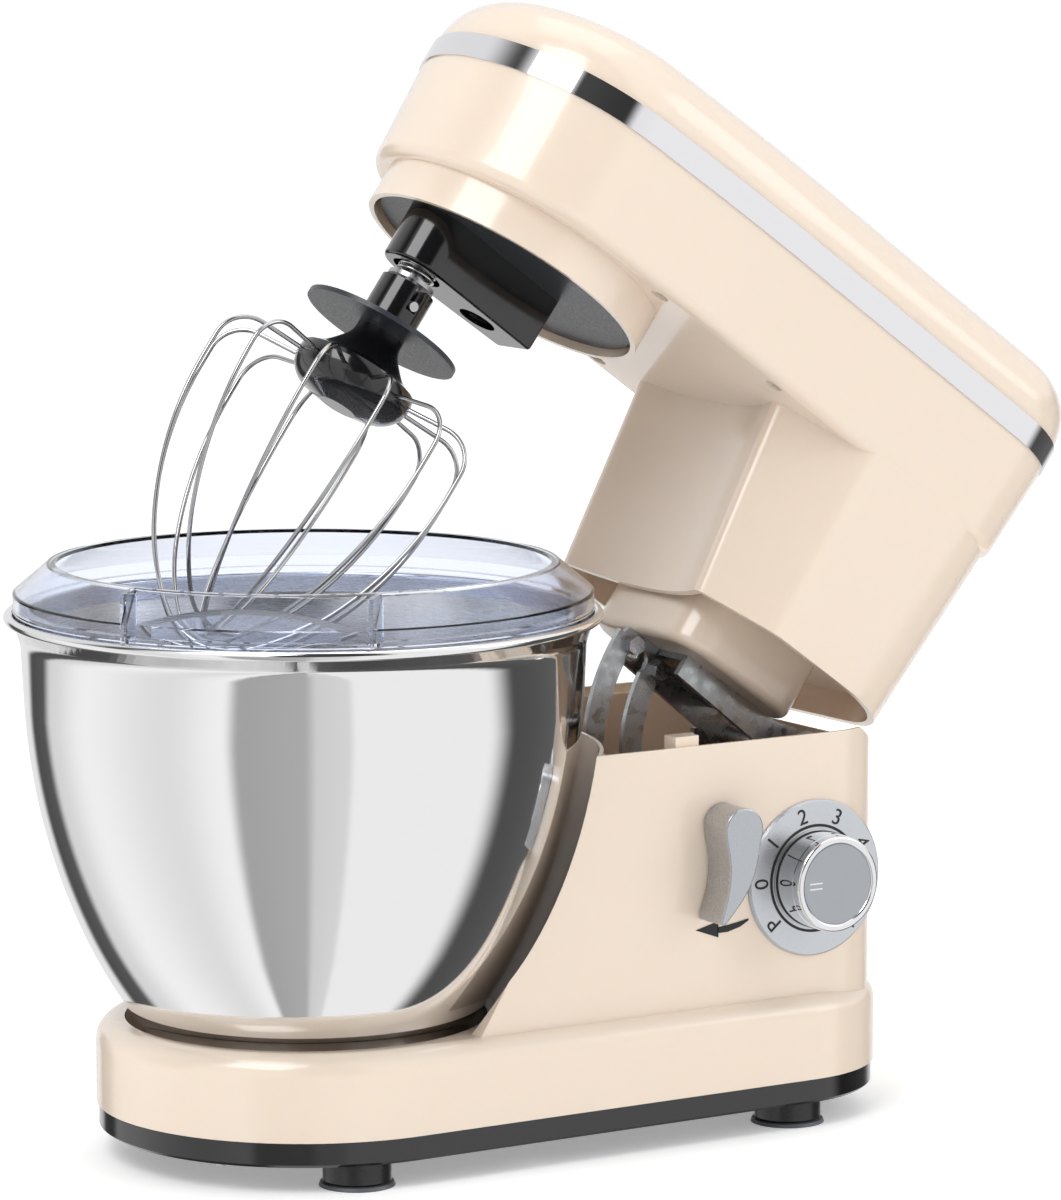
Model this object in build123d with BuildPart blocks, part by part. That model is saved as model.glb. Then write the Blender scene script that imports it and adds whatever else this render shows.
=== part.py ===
"""Tilt-head kitchen stand mixer, drawn with its head raised.

Every piece is drawn about the bowl's axis, with the head shut and level.
FIXED then moves the standing pieces into the part's own frame, and RAISED also tips the head
back about its hinge pin, which is how the machine stands when the bowl is filled.
+X points to the rear, -Y to the dial and lever, +Z up. The feet stand on z = 0.
"""

import os
from math import acos, cos, hypot, pi, radians, sin, sqrt, tan

from build123d import *

os.makedirs("parts", exist_ok=True)

# Driving dimensions, millimetres and degrees
BOWL_X = -107.755  # bowl axis, in the part's own frame
HEAD_ANGLE = 35.5  # how far the head tips back
HINGE_X = 217.0  # hinge pin
HINGE_Z = 144.0
DISC_Z = 232.75  # lower rim of the drive skirt with the head shut
WALL = 3.0  # moulded plastic wall
GAP = 0.3  # between pieces that move past each other

FRONT_X = 1.6  # centre of the base's round front
BASE_R = 84.8  # radius of that front, and half the base's width
BASE_REAR = 243.0
TRAY_Z = 10.4
SHELL_Z = 20.4
DECK_Z = 54.0
RECESS_R = 72.0  # the well that the bowl stands in
RECESS_Z = 33.0

COLUMN_HALF = 77.0
COLUMN_REAR = 234.0
COLUMN_Z = 160.0
COLUMN_GAP = 8.0  # between the bowl and the column's hollow front
COLUMN_CORNER_R = 32.0
WING_FRONT = 34.0  # where each wing of the column meets the deck
WING_BACK = 60.0  # and where it reaches full height
WING_Z = 96.0
MOUTH_DROP_Z = 144.0  # low rear edge of the column's mouth, which the neck swings past
CORD_Z = 35.0

BOWL_WALL = 1.0
FLAT_R = 44.0  # radius of the bowl's flat bottom
BOWL_LOW = 36.0
BOWL_BENDS = [(20, 50), (200, 16), (250, 21)]  # radius and turn of each arc up the bowl's side
RIM_Z = 214.0
RIM_R = 116.0
BEAD_R = 2.0

DIAL_X = 191.2
DIAL_Z = 101.5
DIAL_R = 31.85
LEVER_X = 146.0
LEVER_Z = 129.0

HEAD_HALF = 76.0
STRIP_LOW = DISC_Z + 60.0
STRIP_HIGH = DISC_Z + 70.5
HEAD_TOP = DISC_Z + 97.5
SHOULDER_R = 25.0  # rounding of the head's top edge
UNDERSIDE = DISC_Z + 16.0
CHASSIS_Z = DISC_Z + 20.0
NECK_LOW = 167.0
NECK_HIGH = NECK_LOW + 88.0
NECK_FLOOR = 179.0

MODULE = 1.5
RING_TEETH = 60
PINION_TEETH = 14
OFFSET = MODULE * (RING_TEETH - PINION_TEETH) / 2  # beater spindle from the drive axis
SPINDLE_R = 5.0
RUNNING = 0.05  # radial clearance of a running fit
MOTOR_X = 172.0

FIXED = Pos(BOWL_X, 0, 0)
TIP = Pos(HINGE_X, 0, HINGE_Z) * Rot(0, HEAD_ANGLE, 0) * Pos(-HINGE_X, 0, -HINGE_Z)
RAISED = FIXED * TIP


def at(x, z):
    """A plane facing -Y, whose local x and y are +X and +Z, with its origin at x, z."""
    return Plane(origin=(x, 0, z), x_dir=(1, 0, 0), z_dir=(0, -1, 0))


def level(x, z):
    """A horizontal plane at height z with its origin at x."""
    return Plane.XY.move(Location((x, 0, z)))


# ---------------------------------------------------------------- base and column


def base_plan(inset):
    """Round-fronted outline of the base."""
    with BuildSketch() as plan:
        with Locations((FRONT_X, 0)):
            Circle(BASE_R - inset)
        with BuildSketch(mode=Mode.PRIVATE) as rear:
            with Locations(((FRONT_X + BASE_REAR - inset) / 2, 0)):
                Rectangle(BASE_REAR - inset - FRONT_X, 2 * (BASE_R - inset))
            fillet(rear.vertices().group_by(Axis.X)[-1], 55 - inset)
        add(rear.sketch)
    return plan.sketch


def bowl_side(inset):
    """The bowl's side from its flat bottom to the mouth, as tangent arcs drawn in by inset."""
    bends = [JernArc((FLAT_R, BOWL_LOW + inset), (1, 0), BOWL_BENDS[0][0] - inset, BOWL_BENDS[0][1])]
    for radius, turn in BOWL_BENDS[1:]:
        heading = bends[-1] % 1
        bends.append(JernArc(bends[-1] @ 1, heading, radius - inset, turn))
    return bends


def column_block(inset, low, high):
    """The column between two heights: a rounded block, hollowed at the front to follow the bowl."""
    with BuildPart(mode=Mode.PRIVATE) as block:
        with BuildSketch(Plane.XY.offset(low)) as plan:
            with Locations(((COLUMN_REAR - inset + 30) / 2, 0)):
                Rectangle(COLUMN_REAR - inset - 30, 2 * (COLUMN_HALF - inset))
            fillet(plan.vertices().group_by(Axis.X)[-1], COLUMN_CORNER_R - inset)
        extrude(amount=high - low)
        with BuildSketch(Plane.XZ):
            with BuildLine():
                side = bowl_side(-COLUMN_GAP - inset)
                up = Line(side[-1] @ 1, side[-1] @ 1 + (side[-1] % 1) * 60)
                Polyline(up @ 1, (0, (up @ 1).Y), (0, (side[0] @ 0).Y), side[0] @ 0)
            make_face()
        revolve(axis=Axis.Z, mode=Mode.SUBTRACT)
        # the foot of each wing slopes down to the deck
        with BuildSketch(Plane.XZ.offset(-COLUMN_HALF - 1)):
            with BuildLine():
                Polyline(
                    (20, 0), (WING_FRONT + inset, 0), (WING_FRONT + inset, DECK_Z),
                    (WING_BACK + inset, WING_Z), (20, WING_Z), close=True,
                )
            make_face()
        extrude(amount=2 * COLUMN_HALF + 2, mode=Mode.SUBTRACT)
    return block.part


with BuildPart() as stand_housing:
    with BuildSketch(Plane.XY.offset(SHELL_Z)):
        add(base_plan(0))
    extrude(amount=DECK_Z - SHELL_Z)
    fillet(stand_housing.edges().group_by(Axis.Z)[-1], 9)
    add(column_block(0, DECK_Z - WALL, COLUMN_Z))
    with BuildSketch(Plane.XY.offset(SHELL_Z)):
        add(base_plan(WALL))
        Circle(RECESS_R + WALL, mode=Mode.SUBTRACT)
    extrude(amount=DECK_Z - SHELL_Z - WALL, mode=Mode.SUBTRACT)
    with BuildSketch(Plane.XY.offset(SHELL_Z)):
        Circle(RECESS_R + WALL)
    extrude(amount=RECESS_Z - WALL - SHELL_Z, mode=Mode.SUBTRACT)
    with BuildSketch(Plane.XY.offset(RECESS_Z)):
        Circle(RECESS_R)
    extrude(amount=DECK_Z - RECESS_Z + 1, mode=Mode.SUBTRACT)
    add(column_block(WALL, DECK_Z - WALL - 1, COLUMN_Z + 1), mode=Mode.SUBTRACT)
    # the rebate round the mouth
    add(column_block(WALL / 2, COLUMN_Z - 4, COLUMN_Z + 1), mode=Mode.SUBTRACT)
    # a short boss backs the dial plate where the corner turns away
    with Locations(Plane(origin=(DIAL_X, -COLUMN_HALF, DIAL_Z), z_dir=(0, 1, 0))):
        Cylinder(DIAL_R - 0.4, 20, align=(Align.CENTER, Align.CENTER, Align.MIN))
    add(column_block(WALL, DIAL_Z - DIAL_R - 1, DIAL_Z + DIAL_R + 1), mode=Mode.SUBTRACT)
    # the rear of the mouth slopes down, to let the neck swing past it
    with BuildSketch(Plane.XZ.offset(-COLUMN_HALF - 5)):
        with BuildLine():
            Polyline((215, COLUMN_Z + 1), (BASE_REAR, MOUTH_DROP_Z), (BASE_REAR, COLUMN_Z + 1), close=True)
        make_face()
    extrude(amount=2 * (COLUMN_HALF + 5), mode=Mode.SUBTRACT)
    # dial shaft hole and lever shaft hole
    with Locations(Plane(origin=(DIAL_X, -COLUMN_HALF, DIAL_Z), z_dir=(0, -1, 0))):
        Cylinder(8, 20, mode=Mode.SUBTRACT)
    with Locations(Plane(origin=(LEVER_X, -COLUMN_HALF, LEVER_Z), z_dir=(0, -1, 0))):
        Cylinder(6, 20, mode=Mode.SUBTRACT)
    # cable gland hole, low in the rear wall
    with Locations(Plane(origin=(BASE_REAR, 0, CORD_Z), z_dir=(1, 0, 0))):
        Cylinder(6, 10, mode=Mode.SUBTRACT)
    # locating block on the dial side of the mouth
    with Locations((131, -COLUMN_HALF + 5.5, COLUMN_Z - 1)):
        Box(11, 8, 10)
stand_housing.part.move(FIXED)
stand_housing.part.label = "stand_housing"
export_step(stand_housing.part, "parts/stand_housing.step")

FOOT_LOW = 2.4  # lower end of the moulded foot posts
FOOT_SPOTS = [(-16, -66), (-16, 66), (187, -66), (187, 66)]
SCREW_SPOTS = [(60, -72), (60, 72), (228, -30), (228, 30), (-60, -40), (-60, 40)]

with BuildPart() as base_tray:
    with BuildSketch(Plane.XY.offset(TRAY_Z)):
        add(base_plan(1))
    extrude(amount=SHELL_Z - TRAY_Z)
    chamfer(base_tray.edges().group_by(Axis.Z)[0], 1.2)
    with BuildSketch(Plane.XY.offset(TRAY_Z + WALL)):
        add(base_plan(1 + WALL))
    extrude(amount=SHELL_Z - TRAY_Z, mode=Mode.SUBTRACT)
    with Locations(*[(x, y, TRAY_Z) for x, y in SCREW_SPOTS]):
        Cylinder(2.2, 30, mode=Mode.SUBTRACT)
base_tray.part.move(FIXED)
base_tray.part.label = "base_tray"
export_step(base_tray.part, "parts/base_tray.step")

with BuildPart() as base_screws:
    for x, y in SCREW_SPOTS:
        with Locations((x, y, TRAY_Z - 2)):
            Cylinder(4, 2, align=(Align.CENTER, Align.CENTER, Align.MIN))
            Cylinder(1.8, 12, align=(Align.CENTER, Align.CENTER, Align.MIN))
base_screws.part.move(FIXED)
base_screws.part.label = "base_screws"
export_step(base_screws.part, "parts/base_screws.step")

with BuildPart() as foot_posts:
    for x, y in FOOT_SPOTS:
        with BuildSketch(Plane.XY.offset(FOOT_LOW).move(Location((x, y, 0)))):
            Circle(13.5)
            Circle(8.1, mode=Mode.SUBTRACT)
        extrude(amount=TRAY_Z - FOOT_LOW)
        with BuildSketch(Plane.XY.offset(8).move(Location((x, y, 0)))):
            Circle(9)
        extrude(amount=TRAY_Z - 8)
foot_posts.part.move(FIXED)
foot_posts.part.label = "foot_posts"
export_step(foot_posts.part, "parts/foot_posts.step")

with BuildPart() as suction_cups:
    for x, y in FOOT_SPOTS:
        with BuildSketch(Plane(origin=(x, y, 0), x_dir=(1, 0, 0), z_dir=(0, -1, 0))):
            with BuildLine():
                Polyline(
                    (0, 1.2), (3, 1.2), (11, 0), (15, 0), (14.4, 1.4), (8, 2.3), (8, 7.6), (0, 7.6),
                    close=True,
                )
            make_face()
        revolve(axis=Axis((x, y, 0), (0, 0, 1)))
suction_cups.part.move(FIXED)
suction_cups.part.label = "suction_cups"
export_step(suction_cups.part, "parts/suction_cups.step")

# the ring in the well that the bowl's lugs turn under
SEAT_LUGS = 3
with BuildPart() as bowl_seat_ring:
    with BuildSketch(Plane.XY.offset(RECESS_Z)):
        Circle(RECESS_R - GAP)
        Circle(64.2, mode=Mode.SUBTRACT)
    extrude(amount=7)
    for i in range(SEAT_LUGS):
        with BuildSketch(Plane.XY.offset(RECESS_Z + 5)):
            with BuildLine():
                CenterArc((0, 0), 65, 120 * i + 90, 26)
                Line((0, 0), (65 * cos(radians(120 * i + 90)), 65 * sin(radians(120 * i + 90))))
                Line((0, 0), (65 * cos(radians(120 * i + 116)), 65 * sin(radians(120 * i + 116))))
            make_face()
            Circle(61.5, mode=Mode.SUBTRACT)
        extrude(amount=2)
bowl_seat_ring.part.move(FIXED)
bowl_seat_ring.part.label = "bowl_seat_ring"
export_step(bowl_seat_ring.part, "parts/bowl_seat_ring.step")

# ---------------------------------------------------------------- dial and lever

PLATE_T = 1.6
with BuildPart() as dial_plate:
    with BuildSketch(at(DIAL_X, DIAL_Z).offset(COLUMN_HALF)):
        Circle(DIAL_R)
        Circle(6, mode=Mode.SUBTRACT)
    extrude(amount=PLATE_T)
    chamfer(dial_plate.edges().filter_by(GeomType.CIRCLE).group_by(Axis.Y)[0].sort_by(SortBy.RADIUS)[-1], 0.8)
dial_plate.part.move(FIXED)
dial_plate.part.label = "dial_plate"
export_step(dial_plate.part, "parts/dial_plate.step")

with BuildPart() as rotary_switch:
    with BuildSketch(at(DIAL_X, DIAL_Z).offset(COLUMN_HALF - WALL - 4)):
        RectangleRounded(26, 26, 1)
        Circle(3 + RUNNING, mode=Mode.SUBTRACT)
    extrude(amount=-20)
rotary_switch.part.move(FIXED)
rotary_switch.part.label = "rotary_switch"
export_step(rotary_switch.part, "parts/rotary_switch.step")

KNOB_FACE = COLUMN_HALF + PLATE_T + GAP
with BuildPart() as knob_body:
    with BuildSketch(at(DIAL_X, DIAL_Z).offset(KNOB_FACE)):
        Circle(20)
    extrude(amount=11.5, taper=2)
    with BuildSketch(at(DIAL_X, DIAL_Z).offset(KNOB_FACE + 11.5)):
        Circle(16.2)
    extrude(amount=1.5)
    with BuildSketch(at(DIAL_X, DIAL_Z).offset(KNOB_FACE)):
        Circle(3)
    extrude(amount=-(KNOB_FACE - COLUMN_HALF + WALL + 16))
knob_body.part.move(FIXED)
knob_body.part.label = "knob_body"
export_step(knob_body.part, "parts/knob_body.step")

with BuildPart() as knob_ring:
    with BuildSketch(at(DIAL_X, DIAL_Z).offset(KNOB_FACE + 11.5)):
        Circle(19.4)
        Circle(16.2, mode=Mode.SUBTRACT)
    extrude(amount=4.6)
    fillet(knob_ring.edges().group_by(Axis.Y)[0], 1.2)
knob_ring.part.move(FIXED)
knob_ring.part.label = "knob_ring"
export_step(knob_ring.part, "parts/knob_ring.step")

with BuildPart() as knob_cap:
    with BuildSketch(at(DIAL_X, DIAL_Z).offset(KNOB_FACE + 13)):
        Circle(16.2)
    extrude(amount=2.3)
knob_cap.part.move(FIXED)
knob_cap.part.label = "knob_cap"
export_step(knob_cap.part, "parts/knob_cap.step")

LEVER_FACE = COLUMN_HALF + 0.8
with BuildPart() as release_lever:
    with BuildSketch(at(LEVER_X, LEVER_Z).offset(LEVER_FACE)):
        with BuildLine():
            Spline((-8.4, 0), (-6.5, -13), (-7, -25), (-10.4, -36.6), tangents=((0, -1), (-0.35, -1)))
            ThreePointArc((-10.4, -36.6), (-9.9, -38.7), (-8, -38.3))
            Spline((-8, -38.3), (4.9, -21.5), (8.4, -6), tangents=((0.7, 0.7), (0.12, 1)))
            ThreePointArc((8.4, -6), (1.5, 7.2), (-8.4, 0))
        make_face()
    extrude(amount=16)
    fillet(release_lever.faces().sort_by(Axis.Y)[0].edges(), 0.8)
release_lever.part.move(FIXED)
release_lever.part.label = "release_lever"
export_step(release_lever.part, "parts/release_lever.step")

with BuildPart() as lever_shaft:
    with BuildSketch(at(LEVER_X, LEVER_Z).offset(LEVER_FACE)):
        Circle(3)
    extrude(amount=-(LEVER_FACE + 8))
lever_shaft.part.move(FIXED)
lever_shaft.part.label = "lever_shaft"
export_step(lever_shaft.part, "parts/lever_shaft.step")

with BuildPart() as lever_bush:
    with BuildSketch(at(LEVER_X, LEVER_Z).offset(COLUMN_HALF + 0.4)):
        Circle(6)
        Circle(3 + RUNNING, mode=Mode.SUBTRACT)
    extrude(amount=-9)
lever_bush.part.move(FIXED)
lever_bush.part.label = "lever_bush"
export_step(lever_bush.part, "parts/lever_bush.step")

with BuildPart() as latch_cam:
    with BuildSketch(at(LEVER_X, LEVER_Z).offset(16)):
        Circle(8)
        with Locations((0, -8)):
            Rectangle(5, 10)
        Circle(3, mode=Mode.SUBTRACT)
    extrude(amount=-8)
latch_cam.part.move(FIXED)
latch_cam.part.label = "latch_cam"
export_step(latch_cam.part, "parts/latch_cam.step")

with BuildPart() as lever_spring:
    for i in range(5):
        with Locations(at(LEVER_X, LEVER_Z).offset(COLUMN_HALF - 12 - 1.6 * i)):
            Torus(5, 0.6)
lever_spring.part.move(FIXED)
lever_spring.part.label = "lever_spring"
export_step(lever_spring.part, "parts/lever_spring.step")

# ---------------------------------------------------------------- inside the column

PIN_R = 5.0
with BuildPart() as hinge_brackets:
    for side in (-1, 1):
        with BuildSketch(Plane.XZ.offset(-side * 32)):
            with BuildLine():
                Polyline(
                    (190, 51), (190, 110), (207, 144), (207, 146), (227, 146), (227, 144), (230, 110),
                    (230, 51), close=True,
                )
            make_face()
            with Locations((HINGE_X, HINGE_Z)):
                Circle(9)
                Circle(PIN_R, mode=Mode.SUBTRACT)
        extrude(amount=-side * 3)
    with BuildSketch(Plane.XY.offset(DECK_Z - WALL)):
        with Locations((210, 0)):
            Rectangle(40, 69.9)
    extrude(amount=3)
hinge_brackets.part.move(FIXED)
hinge_brackets.part.label = "hinge_brackets"
export_step(hinge_brackets.part, "parts/hinge_brackets.step")

with BuildPart() as hinge_pin:
    with BuildSketch(Plane.XZ.offset(-39)):
        with Locations((HINGE_X, HINGE_Z)):
            Circle(PIN_R)
    extrude(amount=78)
    with BuildSketch(Plane.XZ.offset(-39)):
        with Locations((HINGE_X, HINGE_Z)):
            Circle(7)
    extrude(amount=2)
hinge_pin.part.move(FIXED)
hinge_pin.part.label = "hinge_pin"
export_step(hinge_pin.part, "parts/hinge_pin.step")

with BuildPart() as control_board:
    with Locations((165, 55, 85)):
        Box(50, 1.6, 50)
    with Locations((155, 50, 95), (175, 50, 80)):
        Box(14, 10, 12)
    with Locations((177, 51.1, 98)):
        Cylinder(5, 6.3, rotation=(90, 0, 0))
control_board.part.move(FIXED)
control_board.part.label = "control_board"
export_step(control_board.part, "parts/control_board.step")

with BuildPart() as board_posts:
    for x, z in ((143, 63), (187, 63), (143, 107), (187, 107)):
        with BuildSketch(Plane.XZ.offset(-55.8)):
            with Locations((x, z)):
                Circle(3)
        extrude(amount=-(COLUMN_HALF - WALL - 55.8))
board_posts.part.move(FIXED)
board_posts.part.label = "board_posts"
export_step(board_posts.part, "parts/board_posts.step")

with BuildPart() as cord_gland:
    with BuildSketch(Plane(origin=(BASE_REAR, 0, CORD_Z), z_dir=(1, 0, 0))):
        Circle(9)
        Circle(3.6, mode=Mode.SUBTRACT)
    extrude(amount=2)
    with BuildSketch(Plane(origin=(BASE_REAR - 6, 0, CORD_Z), z_dir=(1, 0, 0))):
        Circle(6)
        Circle(3.6, mode=Mode.SUBTRACT)
    extrude(amount=6)
cord_gland.part.move(FIXED)
cord_gland.part.label = "cord_gland"
export_step(cord_gland.part, "parts/cord_gland.step")

# ---------------------------------------------------------------- bowl and splash guard

with BuildPart() as bowl:
    with BuildSketch(Plane.XZ):
        with BuildLine(Plane.XY):
            outside = bowl_side(0)[-1]
            inside = bowl_side(BOWL_WALL)[-1]
            mouth = Line(outside @ 1, outside @ 1 + (outside % 1) * 26)
            lip = Line(inside @ 1, inside @ 1 + (inside % 1) * 26)
            Line(mouth @ 1, lip @ 1)
            Polyline(
                (FLAT_R, BOWL_LOW), (0, BOWL_LOW), (0, BOWL_LOW + BOWL_WALL), (FLAT_R, BOWL_LOW + BOWL_WALL)
            )
        make_face()
    revolve(axis=Axis.Z)
    # the mouth flares to a rolled bead
    with BuildSketch(Plane.XZ):
        with BuildLine():
            Polyline((110.8, 203.5), (111.3, 203.5), (115.4, RIM_Z), (114.2, RIM_Z), close=True)
        make_face()
        with Locations((RIM_R, RIM_Z)):
            Circle(BEAD_R)
    revolve(axis=Axis.Z)
bowl.part.move(FIXED)
bowl.part.label = "bowl"
export_step(bowl.part, "parts/bowl.step")

with BuildPart() as bowl_foot_ring:
    with BuildSketch(Plane.XY.offset(RECESS_Z + GAP)):
        Circle(50)
        Circle(43, mode=Mode.SUBTRACT)
    extrude(amount=BOWL_LOW - RECESS_Z - GAP)
    for i in range(SEAT_LUGS):
        with BuildSketch(Plane.XY.offset(RECESS_Z + GAP)):
            with BuildLine():
                CenterArc((0, 0), 63.6, 120 * i + 91, 20)
                Line((0, 0), (63.6 * cos(radians(120 * i + 91)), 63.6 * sin(radians(120 * i + 91))))
                Line((0, 0), (63.6 * cos(radians(120 * i + 111)), 63.6 * sin(radians(120 * i + 111))))
            make_face()
            Circle(49, mode=Mode.SUBTRACT)
        extrude(amount=2)
bowl_foot_ring.part.move(FIXED)
bowl_foot_ring.part.label = "bowl_foot_ring"
export_step(bowl_foot_ring.part, "parts/bowl_foot_ring.step")

GUARD_FLANGE_Z = 216.4
GUARD_TOP = 235.2
CHUTE_ANGLE = 228  # heading of the filling chute about the bowl's axis
CHUTE_WIDTH = 95
CHUTE_R = 105
chute_plane = Plane.XY.rotated((0, 0, CHUTE_ANGLE))
with BuildPart() as splash_guard:
    with BuildSketch(Plane.XZ):
        with BuildLine():
            Polyline(
                (114.2, GUARD_FLANGE_Z), (114.2, 223.6), (100.5, GUARD_TOP), (97.5, GUARD_TOP), (97.5, 233.8),
                (99.6, 233.2), (112.0, 222.6), (112.0, 218.4), (107.8, 218.4), (107.8, 208), (109.6, 208),
                (109.6, GUARD_FLANGE_Z), close=True,
            )
        make_face()
    revolve(axis=Axis.Z)
    with BuildSketch(chute_plane.offset(217.5)):
        with Locations((CHUTE_R - 12, 0)):
            Rectangle(22, CHUTE_WIDTH)
    extrude(amount=17, mode=Mode.SUBTRACT)
    with BuildSketch(chute_plane.offset(GUARD_FLANGE_Z)):
        with Locations((CHUTE_R - 9, CHUTE_WIDTH / 2), (CHUTE_R - 9, -CHUTE_WIDTH / 2)):
            Rectangle(20, 2)
        with Locations((CHUTE_R, 0)):
            Rectangle(2, CHUTE_WIDTH + 2)
    extrude(amount=GUARD_TOP - GUARD_FLANGE_Z)
splash_guard.part.move(FIXED)
splash_guard.part.label = "splash_guard"
export_step(splash_guard.part, "parts/splash_guard.step")

# ---------------------------------------------------------------- head casing


def head_plan(inset):
    """Outline of the head: a bowed nose, sides that widen to the rear and round rear corners."""
    with BuildSketch() as plan:
        with BuildLine():
            ThreePointArc((-28.7, -69.8), (-69, 0), (-28.7, 69.8))
            Polyline(
                (-28.7, 69.8), (45, HEAD_HALF), (240, HEAD_HALF), (240, -HEAD_HALF), (45, -HEAD_HALF),
                (-28.7, -69.8),
            )
        make_face()
        fillet(plan.vertices().group_by(Axis.X)[0], 60)
        fillet(plan.vertices().filter_by_position(Axis.X, 44, 46), 600)
        fillet(plan.vertices().group_by(Axis.X)[-1], 38)
        offset(amount=-inset, kind=Kind.INTERSECTION, mode=Mode.REPLACE)
    return plan.sketch


def neck_plan(front_r, shoulder_x, half, rear, inset):
    """Outline of the neck: hollow at the front round the bowl, with slanted shoulders."""
    front_y = 50.0
    front_x = sqrt(front_r**2 - front_y**2)
    with BuildSketch() as plan:
        with BuildLine():
            ThreePointArc((front_x, -front_y), (front_r, 0), (front_x, front_y))
            Polyline(
                (front_x, front_y), (shoulder_x, half), (rear, half), (rear, -half), (shoulder_x, -half),
                (front_x, -front_y),
            )
        make_face()
        fillet(plan.vertices().group_by(Axis.X)[-1], 42)
        fillet(plan.vertices().group_by(Axis.X)[1], 16)
        fillet(plan.vertices().group_by(Axis.X)[0], 5)
        offset(amount=-inset, kind=Kind.INTERSECTION, mode=Mode.REPLACE)
    return plan.sketch


def neck_section(z, inset):
    """The neck's outline at height z: it leans forward over the bowl as it rises."""
    rise = (z - NECK_LOW) / (NECK_HIGH - NECK_LOW)
    return neck_plan(131 - 12 * rise, 152 - 4 * rise, 70 + 3.6 * rise, 234.5 + 4 * rise, inset)


HEAD_SCREWS = [(30, -63), (96, -64), (30, 63), (96, 64)]
with BuildPart() as head_lower_shell:
    with BuildSketch(Plane.XY.offset(UNDERSIDE)):
        add(head_plan(2.5))
    with BuildSketch(Plane.XY.offset(STRIP_LOW)):
        add(head_plan(0))
    loft(ruled=True)
    fillet(head_lower_shell.edges().group_by(Axis.Z)[0], 5)
    with BuildSketch(Plane.XY.offset(NECK_LOW)):
        add(neck_section(NECK_LOW, 0))
    with BuildSketch(Plane.XY.offset(NECK_HIGH)):
        add(neck_section(NECK_HIGH, 0))
    loft(ruled=True)
    with BuildSketch(Plane.XY.offset(DISC_Z)):
        Circle(61)
    extrude(amount=18)
    with BuildSketch(Plane.XY.offset(CHASSIS_Z)):
        add(head_plan(2.5 + WALL))
    with BuildSketch(Plane.XY.offset(STRIP_LOW + 1)):
        add(head_plan(WALL))
    loft(ruled=True, mode=Mode.SUBTRACT)
    with BuildSketch(Plane.XY.offset(NECK_LOW - 1)):
        add(neck_section(NECK_LOW - 1, WALL))
    with BuildSketch(Plane.XY.offset(CHASSIS_Z + 1)):
        add(neck_section(CHASSIS_Z + 1, WALL))
    loft(ruled=True, mode=Mode.SUBTRACT)
    with BuildSketch(Plane.XY.offset(DISC_Z - 1)):
        Circle(58.6)
    extrude(amount=23, mode=Mode.SUBTRACT)
    # floor of the neck, above the recess that the hinge pod fills
    with BuildSketch(Plane.XY.offset(NECK_FLOOR)):
        add(neck_section(NECK_FLOOR + 1, 2))
    extrude(amount=3)
    # tongue behind the trim strip
    with BuildSketch(Plane.XY.offset(STRIP_LOW - 2)):
        add(head_plan(2.5))
        add(head_plan(2.5 + WALL - 0.5), mode=Mode.SUBTRACT)
    extrude(amount=STRIP_HIGH - STRIP_LOW + 1.8)
    with Locations(*[(x, y, UNDERSIDE) for x, y in HEAD_SCREWS]):
        Cylinder(3.8, 20, mode=Mode.SUBTRACT)
head_lower_shell.part.move(RAISED)
head_lower_shell.part.label = "head_lower_shell"
export_step(head_lower_shell.part, "parts/head_lower_shell.step")

with BuildPart() as trim_strip:
    with BuildSketch(Plane.XY.offset(STRIP_LOW)):
        add(head_plan(-0.7))
        add(head_plan(2.3), mode=Mode.SUBTRACT)
    extrude(amount=STRIP_HIGH - STRIP_LOW)
trim_strip.part.move(RAISED)
trim_strip.part.label = "trim_strip"
export_step(trim_strip.part, "parts/trim_strip.step")


def cover_block(inset):
    """The top cover's block drawn in by inset, with its top edge rounded over."""
    with BuildPart(mode=Mode.PRIVATE) as block:
        with BuildSketch(Plane.XY.offset(STRIP_HIGH)):
            add(head_plan(inset))
        extrude(amount=HEAD_TOP - STRIP_HIGH - inset)
        fillet(block.faces().sort_by(Axis.Z)[-1].edges(), SHOULDER_R - inset)
    return block.part


with BuildPart() as head_top_cover:
    add(cover_block(0.5))
    add(cover_block(0.5 + WALL), mode=Mode.SUBTRACT)
head_top_cover.part.move(RAISED)
head_top_cover.part.label = "head_top_cover"
export_step(head_top_cover.part, "parts/head_top_cover.step")

with BuildPart() as head_screws:
    for x, y in HEAD_SCREWS:
        with Locations((x, y, CHASSIS_Z - 2.4)):
            Cylinder(3.4, 2.4, align=(Align.CENTER, Align.CENTER, Align.MIN))
            Cylinder(1.8, 7, align=(Align.CENTER, Align.CENTER, Align.MIN))
head_screws.part.move(RAISED)
head_screws.part.label = "head_screws"
export_step(head_screws.part, "parts/head_screws.step")

# ---------------------------------------------------------------- hinge under the neck

POD_LOW = 150.0
with BuildPart() as hinge_housing:
    with BuildSketch(Plane.XY.offset(POD_LOW)):
        with Locations((170.5, 0)):
            RectangleRounded(69, 76, 16)
    extrude(amount=NECK_FLOOR - POD_LOW)
    fillet(hinge_housing.edges().group_by(Axis.Z)[0], 4)
    with BuildSketch(Plane.XY.offset(POD_LOW + WALL)):
        with Locations((170.5, 0)):
            RectangleRounded(63, 70, 13)
    extrude(amount=30, mode=Mode.SUBTRACT)
hinge_housing.part.move(RAISED)
hinge_housing.part.label = "hinge_housing"
export_step(hinge_housing.part, "parts/hinge_housing.step")

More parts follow.
